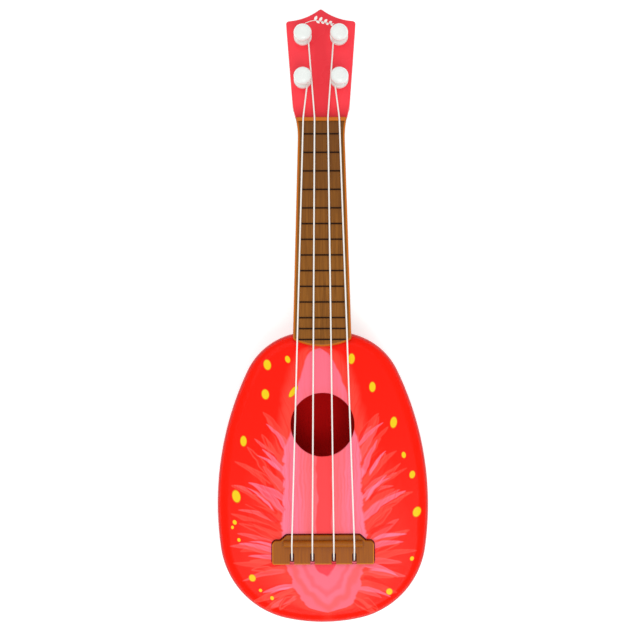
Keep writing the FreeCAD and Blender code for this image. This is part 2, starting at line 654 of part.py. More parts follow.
def make_neck_back():
    """The neck's back in one moulding with the head's back slab, hollow under the fingerboard."""
    body = new_body("neck_back_body")
    plan = sketch_on(body, "neck_outline", lift=D.neck_floor)
    add_outline(plan, mirrored([
        (D.neck_root_half, D.tongue_at, 0),
        (D.neck_root_half, D.neck_root_at, 0),
        (D.neck_end_half, D.neck_end_at, D.flare_radius),
        (D.nut_half + 1.0, D.nut_at + 4.7, 0),
        (D.nut_half + 1.0, D.nut_at + 16.5, 0),
    ]))
    pad(body, plan, "neck_beam", D.neck_seam - D.neck_floor - D.rest_gap)
    long_edge = flat_at(D.neck_floor, lambda edge: edge.BoundBox.YLength > 1.0)
    round_edges(body, "neck_round", D.neck_round, long_edge)
    slope = sketch_on(body, "neck_slope_outline", "YZ_Plane")
    fall = Size(math.tan(math.radians(D.head_tilt)), f"tan({D.head_tilt.text} * 1 deg)")
    add_outline(slope, [
        (D.nut_at, D.neck_seam, 0),
        (D.nut_at + 20.0, D.neck_seam - fall * 20.0, 0),
        (D.nut_at + 20.0, D.neck_seam + 1.0, 0),
        (D.nut_at, D.neck_seam + 1.0, 0),
    ])
    pocket(body, slope, "neck_slope", D.head_half * 2.0, both=True)
    slab = tilted_sketch(body, "slab_outline", -D.cover_thickness - D.head_back)
    add_outline(slab, mirrored([(D.nut_half - 6.0, D.slab_start, 0), *head_side(bend=3.0)]))
    pad(body, slab, "head_slab", D.head_back - D.rest_gap)
    hollow = sketch_on(body, "neck_hollow_outline", lift=D.neck_seam)
    add_outline(hollow, mirrored([
        (D.neck_root_half - D.neck_wall, D.tongue_at + D.neck_wall, 0),
        (D.neck_root_half - D.neck_wall, D.neck_root_at, 0),
        (D.neck_end_half - D.neck_wall, D.neck_end_at, 0),
    ]))
    for y in NECK_SCREWS:
        add_circle(hollow, 0.0, y, D.boss_radius)
    pocket(body, hollow, "neck_hollow", D.neck_seam - D.neck_floor - D.neck_wall)
    places, deep = [(0.0, y) for y in NECK_SCREWS], D.neck_seam - D.neck_floor
    holes(body, "neck_screw_holes", D.neck_seam, places, D.screw_radius + 0.2, deep)
    holes(body, "neck_screw_wells", D.neck_floor, places, D.screw_head_radius + 0.4, D.neck_well, up=True)
    places = [(0.0, y) for y in JOINT_SCREWS]
    holes(body, "joint_screw_holes", D.neck_seam, places, D.screw_radius + 0.2, deep)
    cavity = tilted_sketch(body, "slab_cavity_outline", -D.cover_thickness)
    add_outline(cavity, head_cavity())
    add_head_circles(cavity, D.tube_radius, D.boss_radius)
    pocket(body, cavity, "slab_cavity", D.head_back - D.head_wall)
    bores = tilted_sketch(body, "slab_bore_outlines", -D.cover_thickness)
    add_head_circles(bores, D.shaft_radius + D.shaft_play, D.screw_radius + 0.2)
    pocket(body, bores, "slab_bores", D.head_back + 2.0)
    below = 3.0
    wells = tilted_sketch(body, "slab_well_outlines", -D.cover_thickness - D.head_back - below)
    for y in HEAD_SCREWS:
        add_circle(wells, 0.0, y, D.screw_head_radius + 0.3)
    pocket(body, wells, "slab_wells", D.screw_head_height + 0.2 + below, up=True)
    return keep(body, "neck_back")


def tilted_sketch(body, name, lift):
    """A sketch in the head's tilted frame, for a body that stands in the row frame."""
    sketch = sketch_on(body, name)
    _, y, z = head_place(0.0, Size(0.0, "0"))
    turn = math.radians(D.head_tilt)
    cosine = Size(math.cos(turn), f"cos({D.head_tilt.text} * 1 deg)")
    sine = Size(math.sin(turn), f"sin({D.head_tilt.text} * 1 deg)")
    base = Vector(0, y + lift * sine, z + lift * cosine)
    sketch.AttachmentOffset = Placement(base, Rotation(Vector(1, 0, 0), -D.head_tilt))
    bind(sketch, "AttachmentOffset.Base.y", y + sine * lift)
    bind(sketch, "AttachmentOffset.Base.z", z + cosine * lift)
    bind(sketch, "AttachmentOffset.Rotation.Angle", -D.head_tilt)
    return sketch


def head_side(bend=25.0):
    """Right-hand corners of the head in its own frame, above the hinge line."""
    return [
        (D.nut_half + 1.67, D.head_bend_at, bend),
        (D.head_half, D.head_corner_at, 1.8),
        (D.head_half - 11.5, D.head_corner_at + 1.3, 32.0),
        (0.0, D.tip_reach + 0.3, 1.5),
    ]


def head_cavity():
    """The hollow inside the cover and the slab, in the head's frame."""
    side = D.head_half - D.head_wall
    return mirrored([
        (side - 4.4, D.head_bend_at + 1.2, 0),
        (side - 0.4, D.head_corner_at - D.head_wall, 0),
        (side - 9.5, D.head_corner_at - 1.0, 0),
        (0.0, D.tip_reach - 3.4, 0),
    ])


def add_head_circles(sketch, peg_radius, screw_radius):
    """A circle at each tuner and at each head screw."""
    for x, y in peg_places():
        add_circle(sketch, x, y, peg_radius)
    for y in HEAD_SCREWS:
        add_circle(sketch, 0.0, y, screw_radius)


def make_headstock_cover():
    """The head's front: a hollow-backed plate whose lower end stands up against the nut."""
    body = new_body("head_cover_body", tilted=True)
    plan = sketch_on(body, "cover_outline", lift=-D.cover_thickness)
    add_outline(plan, mirrored([(D.nut_half, Size(0.0, "0"), 0), *head_side()]))
    pad(body, plan, "cover_plate", D.cover_thickness)
    round_edges(body, "cover_edge", D.cover_edge, flat_at(0.0, lambda edge: edge.BoundBox.YLength > 0.1))
    lean = Size(math.tan(math.radians(D.head_tilt)), f"tan({D.head_tilt.text} * 1 deg)")
    end = sketch_on(body, "cover_end_section", "YZ_Plane")
    deep = D.cover_thickness + 1.0
    add_outline(end, [
        (0.05 - lean, 1.0, 0),
        (Size(-2.0, "-2"), 1.0, 0),
        (Size(-2.0, "-2"), -deep, 0),
        (0.05 + lean * deep, -deep, 0),
    ])
    pocket(body, end, "cover_end", D.head_half * 2.0, both=True)
    cavity = sketch_on(body, "cover_cavity_outline", lift=-D.cover_thickness)
    add_outline(cavity, head_cavity())
    add_head_circles(cavity, D.tube_radius, D.boss_radius)
    pocket(body, cavity, "cover_cavity", D.cover_thickness - D.head_wall, up=True)
    bores = sketch_on(body, "cover_peg_bores", lift=-D.cover_thickness)
    for x, y in peg_places():
        add_circle(bores, x, y, D.shaft_radius + D.shaft_play)
    pocket(body, bores, "peg_bores", D.cover_thickness + 0.5, up=True)
    places = [(0.0, y) for y in HEAD_SCREWS]
    holes(body, "cover_screw_bores", -D.cover_thickness, places, D.pilot_radius,
          D.cover_thickness - 1.2, up=True)
    return keep(body, "headstock_cover")


def make_tuner(number, x, along):
    """One friction tuner: peg with cap, spool and shaft, knob, washer, screw and the string's windings."""
    base = head_place(x, along)
    under = -D.cover_thickness - D.head_back
    seat = under - D.washer_thickness - 0.1
    knob_low = seat - D.knob_height
    peg = tilted_body(f"peg_{number}", base)
    profile = sketch_on(peg, "peg_profile", "XZ_Plane")
    add_outline(profile, [
        (0.0, D.shaft_end, 0),
        (D.shaft_end_radius, D.shaft_end, 0),
        (D.shaft_end_radius, seat, 0),
        (D.shaft_radius, seat, 0),
        (D.shaft_radius, 0.15, 0),
        (D.flange_radius, 0.15, 0),
        (D.flange_radius, D.spool_low, 0),
        (D.spool_radius, D.spool_low, 0),
        (D.spool_radius, D.spool_high, 0),
        (D.flange_radius, D.spool_high, 0),
        (D.flange_radius, D.cap_top, 2.6),
        (0.0, D.cap_top, 0),
    ])
    turned(peg, profile, "peg_turned")
    holes(peg, "peg_screw_bore", D.shaft_end, [(0.0, 0.0)], D.small_screw_radius + 0.02, 5.5, up=True)
    keep(peg, f"tuner_peg_{number}")

    knob = tilted_body(f"knob_{number}", base)
    pads(knob, "knob_hub", knob_low, [(0.0, 0.0)], D.hub_radius, D.knob_height)
    round_edges(knob, "hub_edge", 1.0, flat_at(float(knob_low)))
    wings = sketch_on(knob, "wing_outline", lift=knob_low + 0.6)
    add_outline(wings, mirrored([(D.wing_half, -D.wing_reach, 1.2), (D.wing_half, D.wing_reach, 1.2)]))
    pad(knob, wings, "knob_wings", D.knob_height - 1.2)
    holes(knob, "knob_socket", seat, [(0.0, 0.0)], D.shaft_end_radius + 0.02, seat - D.shaft_end + 0.02)
    holes(knob, "knob_screw_hole", seat, [(0.0, 0.0)], D.small_screw_radius + 0.15, D.knob_height)
    holes(knob, "knob_screw_well", knob_low, [(0.0, 0.0)], D.small_head_radius + 0.2, 1.3, up=True)
    keep(knob, f"tuner_knob_{number}")

    washer = tilted_body(f"washer_{number}", base)
    pads(washer, "washer_disc", seat + 0.05, [(0.0, 0.0)], D.washer_radius, D.washer_thickness)
    holes(washer, "washer_bore", seat, [(0.0, 0.0)], D.shaft_radius + 0.02, 1.0, up=True)
    keep(washer, f"tuner_washer_{number}")

    winding = tilted_body(f"winding_{number}", base)
    ring = sketch_on(winding, "winding_outline", lift=D.winding_low)
    add_circle(ring, 0.0, 0.0, D.spool_radius + 0.03)
    add_circle(ring, 0.0, 0.0, D.spool_radius + D.string_radius * 2.0)
    pad(winding, ring, "winding_ring", D.string_radius * 6.0)
    keep(winding, f"string_winding_{number}")

    screw = tilted_body(f"small_screw_{number}", base)
    head = knob_low + 1.3
    pads(screw, "screw_head", head, [(0.0, 0.0)], D.small_head_radius, D.small_head_height, down=True)
    pads(screw, "screw_shank", head, [(0.0, 0.0)], D.small_screw_radius, D.small_screw_length)
    keep(screw, f"tuner_screw_{number}")


def tilted_body(name, base):
    """A body that stands on the head's face at a tuner's place."""
    body = new_body(name, at=base)
    body.Placement = Placement(Vector(*map(float, base)), Rotation(Vector(1, 0, 0), -D.head_tilt))
    bind(body, "Placement.Rotation.Angle", -D.head_tilt)
    return body


def turned(body, sketch, name):
    """Revolves a profile once round the body's Z axis."""
    feature = body.newObject("PartDesign::Revolution", name)
    feature.Profile = sketch
    feature.ReferenceAxis = (sketch, ["V_Axis"])
    feature.Angle = 360.0
    doc.recompute()
    return feature


def rod(name, start, end, radius):
    """A round bar between two places."""
    bar = doc.addObject("Part::Cylinder", name)
    bar.Height = (end - start).Length
    bind(bar, "Radius", radius)
    bar.Placement = Placement(start, Rotation(Vector(0, 0, 1), end - start))
    return bar


def fused(items, name):
    """Joins primitives into one solid."""
    union = doc.addObject("Part::MultiFuse", name)
    union.Shapes = items
    return union


def make_string(number, tail, nut, peg):
    """One string: knot, bridge hole, over the saddle and the nut, then down to its spool."""
    rise = D.saddle_radius + D.string_radius + 0.05
    bend = rise * math.tan(math.radians(15.6))
    ridge_middle = D.saddle_crest - D.saddle_radius
    side = -1.0 if peg[0] < 0 else 1.0
    face = [float(v) for v in head_place(peg[0] - side * D.spool_line, peg[1] - D.spool_stop)]
    turn = math.radians(D.head_tilt)
    lift = D.winding_low + 2.0 * D.string_radius
    places = [
        Vector(tail, D.string_hole_at, D.casing_depth - D.wall - D.knot_radius),
        Vector(tail, D.string_hole_at, D.string_dip),
        Vector(tail, D.saddle_at - bend, ridge_middle + rise),
        Vector(nut, D.nut_at, D.board_top + D.nut_rise),
        Vector(face[0], face[1] + lift * math.sin(turn), face[2] + lift * math.cos(turn)),
    ]
    path = doc.addObject("Part::Polygon", f"string_path_{number}")
    path.Nodes = places
    section = doc.addObject("Part::Circle", f"string_section_{number}")
    bind(section, "Radius", D.string_radius)
    section.Placement = Placement(places[0], Rotation(Vector(0, 0, 1), places[1] - places[0]))
    sweep = doc.addObject("Part::Sweep", f"string_sweep_{number}")
    sweep.Sections = [section]
    sweep.Spine = (path, [f"Edge{i}" for i in range(1, len(places))])
    sweep.Solid = True
    sweep.Transition = "Right corner"
    knot = doc.addObject("Part::Sphere", f"knot_{number}")
    bind(knot, "Radius", D.knot_radius)
    knot.Placement = Placement(places[0] - Vector(0, 0, 0.03), Rotation())
    return keep(fused([sweep, knot], f"string_solid_{number}"), f"string_{number}")


def make_screws(label, places, head_at, length):
    """Self-tapping screws driven upwards: a round head below each place and a shank above it."""
    screws = []
    for number, (x, y) in enumerate(places, start=1):
        seat = Vector(x, y, head_at)
        underside = seat - Vector(0, 0, D.screw_head_height)
        head = rod(f"{label}_head_{number}", underside, seat, D.screw_head_radius)
        shank = rod(f"{label}_shank_{number}", seat, seat + Vector(0, 0, length), D.screw_radius)
        screws.append(fused([head, shank], f"{label}_{number}"))
    group = doc.addObject("Part::Compound", label + "_set")
    group.Links = screws
    return keep(group, label)


def make_all():
    """Every sub-part of the guitar."""
    make_sheet()
    make_front_shell()
    make_back_shell()
    make_screws("body_screws", both_sides(BODY_SCREWS), D.boss_meet - D.well_floor, D.screw_length)
    make_bridge()
    make_screws("bridge_screws", [(x, D.saddle_at) for x in BRIDGE_SCREWS],
                D.casing_depth - D.wall - D.rest_gap, D.bridge_screw_length)
    make_fingerboard()
    make_frets()
    make_neck_back()
    make_screws("neck_screws", [(0.0, y) for y in NECK_SCREWS],
                D.neck_floor + D.neck_well - D.rest_gap, D.neck_screw_length)
    make_screws("neck_joint_screws", [(0.0, y) for y in JOINT_SCREWS],
                D.neck_floor - D.rest_gap, D.screw_length)
    make_headstock_cover()
    head_screws = make_screws("headstock_screws", [(0.0, y) for y in HEAD_SCREWS],
                              -D.cover_thickness - D.head_back + D.screw_head_height + 0.2,
                              D.head_screw_length)
    x, y, z = head_place(0.0, Size(0.0, "0"))
    head_screws.Placement = Placement(Vector(x, y, z), Rotation(Vector(1, 0, 0), -D.head_tilt))
    for number, (tail, nut, peg) in enumerate(zip(string_tails(), string_nuts(), peg_places()), start=1):
        make_tuner(number, *peg)
        make_string(number, tail, nut, peg)
    doc.recompute()


def write_all():
    """Checks every object and writes one STEP file for each sub-part."""
    for item in doc.Objects:
        if {"Invalid", "Error"} & set(item.State):
            raise RuntimeError(f"{item.Name} did not build: {item.State}")
    os.makedirs("parts", exist_ok=True)
    for item in PARTS:
        if item.Shape.isNull() or not item.Shape.isValid():
            raise RuntimeError(f"{item.Label} has no valid shape")
        item.Shape.exportStep(f"parts/{item.Label}.step")


make_all()
write_all()
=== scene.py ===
import json
import math
import random

import bmesh
import bpy
from mathutils import Matrix, Vector


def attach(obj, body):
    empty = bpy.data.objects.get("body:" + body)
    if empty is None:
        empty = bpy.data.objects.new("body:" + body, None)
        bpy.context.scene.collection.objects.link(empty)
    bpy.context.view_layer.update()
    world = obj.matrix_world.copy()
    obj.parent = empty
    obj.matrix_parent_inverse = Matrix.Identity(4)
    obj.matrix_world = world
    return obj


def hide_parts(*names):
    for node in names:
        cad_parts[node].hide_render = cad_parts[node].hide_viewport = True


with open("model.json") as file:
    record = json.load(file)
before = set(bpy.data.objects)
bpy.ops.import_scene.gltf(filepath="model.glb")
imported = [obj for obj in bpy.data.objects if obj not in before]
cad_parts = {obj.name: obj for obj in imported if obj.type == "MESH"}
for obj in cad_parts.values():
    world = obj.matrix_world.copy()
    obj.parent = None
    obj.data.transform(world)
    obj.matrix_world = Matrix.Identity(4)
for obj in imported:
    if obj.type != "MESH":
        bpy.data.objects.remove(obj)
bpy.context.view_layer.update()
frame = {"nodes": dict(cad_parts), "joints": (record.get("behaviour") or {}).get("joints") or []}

# Lengths are millimetres in the frame's axes until they reach Blender. The origin is under the middle of
# the guitar, +Y runs towards the head and +Z out of the soundboard.
MM = 0.001
PARTING = 18.0
BOARD_TOP = 39.6
BRIDGE_TOP = 39.0
NUT_AT = 113.8
NUT_TOP = 41.3
HEAD_TILT = math.radians(14.0)
HEAD_FACE = 38.153
SADDLE_AT = -132.7
STRING_HOLE_AT = -142.9
STRING_RADIUS = 0.45
STRING_TAILS = (-18.05, -6.2, 6.2, 18.05)
STRING_NUTS = (-10.4, -3.85, 3.85, 10.4)
SPOOL_LINE = 3.05
SPOOL_LEVEL = 4.3
SPOOL_TURNS = 2.5
SPOOL_FALL = 2.254
KNOT_LEVEL = 32.9
LEAF_POINTS = 16

# Screws: shank radius, head radius and head height of the two sizes, then each group's places and the level
# that its heads bear on. The last two levels are measured from the head's face.
LARGE_SCREW = (1.4, 2.7, 1.9)
SMALL_SCREW = (0.9, 1.9, 1.1)
CASING_SCREWS = ((34.0, -154.0), (47.5, -112.0), (35.0, -42.0))
CASING_SEAT = 10.4
SADDLE_SCREWS = (-12.1, 12.1)
SADDLE_SEAT = 33.78
BOARD_SCREWS = (8.0, 48.0, 88.0)
BOARD_SEAT = 25.98
TONGUE_SCREWS = (-22.0, -33.0)
TONGUE_SEAT = 21.98
HEAD_SCREWS = (13.0, 36.5, 58.0)
HEAD_SEAT = -9.9
KNOB_SEAT = -19.0

ROOT = "guitar"


def srgb(red, green, blue, alpha=1.0):
    """A colour given as 0 to 255 screen values, as the linear colour that nodes take."""
    def linear(value):
        value /= 255.0
        return value / 12.92 if value <= 0.04045 else ((value + 0.055) / 1.055) ** 2.4
    return (linear(red), linear(green), linear(blue), alpha)


# ---------------------------------------------------------------- materials


class Graph:
    """A material's node tree, with short calls for the nodes used here."""

    def __init__(self, name, roughness, specular=0.5, coat=0.0):
        self.material = bpy.data.materials.new(name)
        self.material.use_nodes = True
        self.tree = self.material.node_tree
        self.shader = self.tree.nodes["Principled BSDF"]
        self.shader.inputs["Roughness"].default_value = roughness
        self.shader.inputs["Specular IOR Level"].default_value = specular
        self.shader.inputs["Coat Weight"].default_value = coat
        self.shader.inputs["Coat Roughness"].default_value = 0.12

    def put(self, socket, value):
        """Links a socket to another, or sets its value."""
        if isinstance(value, bpy.types.NodeSocket):
            self.tree.links.new(value, socket)
        else:
            socket.default_value = value

    def node(self, kind, **settings):
        """A new node with its properties set."""
        node = self.tree.nodes.new(kind)
        for key, value in settings.items():
            setattr(node, key, value)
        return node

    def math(self, operation, *values):
        """A Math node's result."""
        node = self.node("ShaderNodeMath", operation=operation)
        for socket, value in zip(node.inputs, values):
            self.put(socket, value)
        return node.outputs[0]

    def limit(self, value):
        """A value held between 0 and 1, by nodes that, unlike a clamp setting, are worked out in order."""
        return self.math("MAXIMUM", 0.0, self.math("MINIMUM", 1.0, value))

    def place(self):
        """Object coordinates in millimetres, which are the row frame's, and their three parts."""
        source = self.node("ShaderNodeTexCoord").outputs["Object"]
        scale = self.node("ShaderNodeVectorMath", operation="SCALE")
        self.put(scale.inputs[0], source)
        scale.inputs["Scale"].default_value = 1.0 / MM
        split = self.node("ShaderNodeSeparateXYZ")
        self.put(split.inputs[0], scale.outputs[0])
        return scale.outputs[0], *split.outputs

    def combine(self, x, y, z=0.0):
        """A vector from three numbers."""
        node = self.node("ShaderNodeCombineXYZ")
        for socket, value in zip(node.inputs, (x, y, z)):
            self.put(socket, value)
        return node.outputs[0]

    def facing(self):
        """How far the surface faces up the object's own Z axis, and how far along its Y axis."""
        split = self.node("ShaderNodeSeparateXYZ")
        self.put(split.inputs[0], self.node("ShaderNodeTexCoord").outputs["Normal"])
        return split.outputs[2], split.outputs[1]

    def noise(self, vector, scale, detail=2.0, roughness=0.5):
        """Smooth noise round 0.5."""
        node = self.node("ShaderNodeTexNoise")
        self.put(node.inputs["Vector"], vector)
        node.inputs["Scale"].default_value = scale
        node.inputs["Detail"].default_value = detail
        node.inputs["Roughness"].default_value = roughness
        return node.outputs["Fac"]

    def step(self, value, low, high, out_low=0.0, out_high=1.0):
        """A smooth step from out_low to out_high as value goes from low to high."""
        node = self.node("ShaderNodeMapRange", interpolation_type="SMOOTHSTEP", clamp=False)
        for socket, number in zip(node.inputs, (value, low, high, out_low, out_high)):
            self.put(socket, number)
        return node.outputs[0]

    def ramp(self, value, stops):
        """A curve through (position, height) stops, with positions in the value's own units."""
        low, high = stops[0][0], stops[-1][0]
        share = self.node("ShaderNodeMapRange", clamp=False)
        for socket, number in zip(share.inputs, (value, low, high, 0.0, 1.0)):
            self.put(socket, number)
        curve = self.node("ShaderNodeFloatCurve")
        self.put(curve.inputs["Value"], share.outputs[0])
        heights = [height for _, height in stops]
        bottom, top = min(heights), max(heights)
        curve.mapping.extend = "HORIZONTAL"
        points = curve.mapping.curves[0].points
        while len(points) < len(stops):
            points.new(0.5, 0.5)
        for point, (position, height) in zip(points, stops):
            point.location = ((position - low) / (high - low), (height - bottom) / (top - bottom))
        curve.mapping.update()
        return self.math("MULTIPLY_ADD", curve.outputs[0], top - bottom, bottom)

    def blend(self, factor, under, over):
        """One colour laid over another."""
        node = self.node("ShaderNodeMix", data_type="RGBA")
        self.put(node.inputs[0], factor)
        self.put(node.inputs[6], under)
        self.put(node.inputs[7], over)
        return node.outputs[2]

    def finish(self, colour, roughness=None, height=None, depth=0.05):
        """Connects the colour, the roughness and a height in millimetres, and returns the material."""
        self.put(self.shader.inputs["Base Color"], colour)
        if roughness is not None:
            self.put(self.shader.inputs["Roughness"], roughness)
        if height is not None:
            bump = self.node("ShaderNodeBump")
            bump.inputs["Distance"].default_value = depth * MM
            bump.inputs["Strength"].default_value = 1.0
            self.put(bump.inputs["Height"], height)
            self.put(self.shader.inputs["Normal"], bump.outputs[0])
        return self.material


def stroke_group():
    """A node group: how strongly one tapered, bent brush stroke shows at a point."""
    tree = bpy.data.node_groups.new("brush_stroke", "ShaderNodeTree")
    inputs = ("X", "Y", "Bristle", "From X", "From Y", "Cosine", "Sine", "Length", "Half width", "Bend",
              "Share", "Hollow")
    for name in inputs:
        tree.interface.new_socket(name, in_out="INPUT", socket_type="NodeSocketFloat")
    tree.interface.new_socket("Shown", in_out="OUTPUT", socket_type="NodeSocketFloat")
    start = tree.nodes.new("NodeGroupInput").outputs
    end = tree.nodes.new("NodeGroupOutput").inputs

    def calc(operation, *values):
        node = tree.nodes.new("ShaderNodeMath")
        node.operation = operation
        for socket, value in zip(node.inputs, values):
            if isinstance(value, bpy.types.NodeSocket):
                tree.links.new(value, socket)
            else:
                socket.default_value = value
        return node.outputs[0]

    def limit(value):
        return calc("MAXIMUM", 0.0, calc("MINIMUM", 1.0, value))

    dx = calc("SUBTRACT", start["X"], start["From X"])
    dy = calc("SUBTRACT", start["Y"], start["From Y"])
    along = calc("ADD", calc("MULTIPLY", dx, start["Cosine"]), calc("MULTIPLY", dy, start["Sine"]))
    across = calc("SUBTRACT", calc("MULTIPLY", dy, start["Cosine"]), calc("MULTIPLY", dx, start["Sine"]))
    share = limit(calc("DIVIDE", along, start["Length"]))
    bent = calc("MULTIPLY", calc("MULTIPLY", share, share), start["Bend"])
    off = calc("ABSOLUTE", calc("SUBTRACT", across, bent))
    taper = calc("POWER", calc("SUBTRACT", 1.0, share), 0.42)
    swell = calc("MULTIPLY_ADD", calc("MINIMUM", 1.0, calc("MULTIPLY", share, 3.0)), 0.55, 0.45)
    half = calc("MULTIPLY", calc("MULTIPLY", taper, swell), start["Half width"])
    depth = calc("MULTIPLY", calc("SUBTRACT", half, off), 1.8)
    inner = limit(calc("SUBTRACT", depth, 1.5))
    edge = calc("SUBTRACT", limit(depth), calc("MULTIPLY", inner, start["Hollow"]))
    begun = limit(calc("MULTIPLY", along, 0.5))
    strength = calc("MULTIPLY", start["Share"], start["Bristle"])
    shown = calc("MULTIPLY", calc("MULTIPLY", edge, begun), strength)
    tree.links.new(shown, end[0])
    return tree


def between(stops, place):
    """A straight-line reading between (place, value) stops."""
    for (low, first), (high, last) in zip(stops, stops[1:]):
        if place <= high:
            return first + (last - first) * (place - low) / (high - low)
    return stops[-1][1]


# Half the width of the print's core, and the rise in degrees of the strokes that leave it, along the body.
CORE = [(-173.0, -4.0), (-171.5, 5.0), (-168.7, 12.5), (-163.0, 16.5), (-157.0, 19.6), (-151.0, 21.3),
        (-140.0, 23.5), (-124.0, 24.0), (-100.0, 22.7), (-84.0, 22.6), (-72.0, 19.6), (-60.0, 16.6),
        (-45.0, 14.8), (-38.0, 12.3), (-30.0, 9.6), (-25.7, 7.2), (-22.4, 4.6), (-20.3, 1.5), (-19.0, -2.0)]
RISE = [(-172.0, -32.0), (-160.0, -14.0), (-150.0, 0.0), (-138.0, 17.0), (-125.0, 34.0), (-110.0, 47.0),
        (-95.0, 56.0), (-76.0, 65.0), (-40.0, 74.0)]

# Seeds of the print: across, along, half width, half height, lean in degrees.
SEEDS = [(-31.9, -29.2, 2.1, 3.0, 12), (-20.1, -26.1, 1.4, 2.1, 20), (-33.1, -46.3, 2.1, 2.9, 10),
         (-16.9, -44.8, 1.5, 3.9, -36), (16.9, -25.9, 1.9, 3.0, -4), (29.0, -42.3, 1.8, 2.9, 0),
         (41.2, -62.9, 1.9, 3.2, -8), (-45.9, -73.4, 1.8, 3.0, 2), (47.0, -81.8, 1.2, 1.8, 8),
         (51.9, -93.2, 1.6, 2.2, -14), (-50.2, -105.4, 2.3, 3.6, 14), (54.5, -114.8, 2.2, 3.0, -26),
         (-51.2, -120.5, 1.1, 1.4, 30), (-52.5, -123.4, 0.8, 1.0, 0), (-48.8, -130.7, 0.9, 1.1, 20),
         (51.5, -141.9, 1.1, 1.3, -30), (-41.1, -152.8, 1.8, 2.1, 40), (38.3, -161.0, 1.8, 1.8, -40),
         (-36.4, -160.0, 0.9, 1.0, 50), (-29.7, -164.5, 1.0, 1.2, 30)]


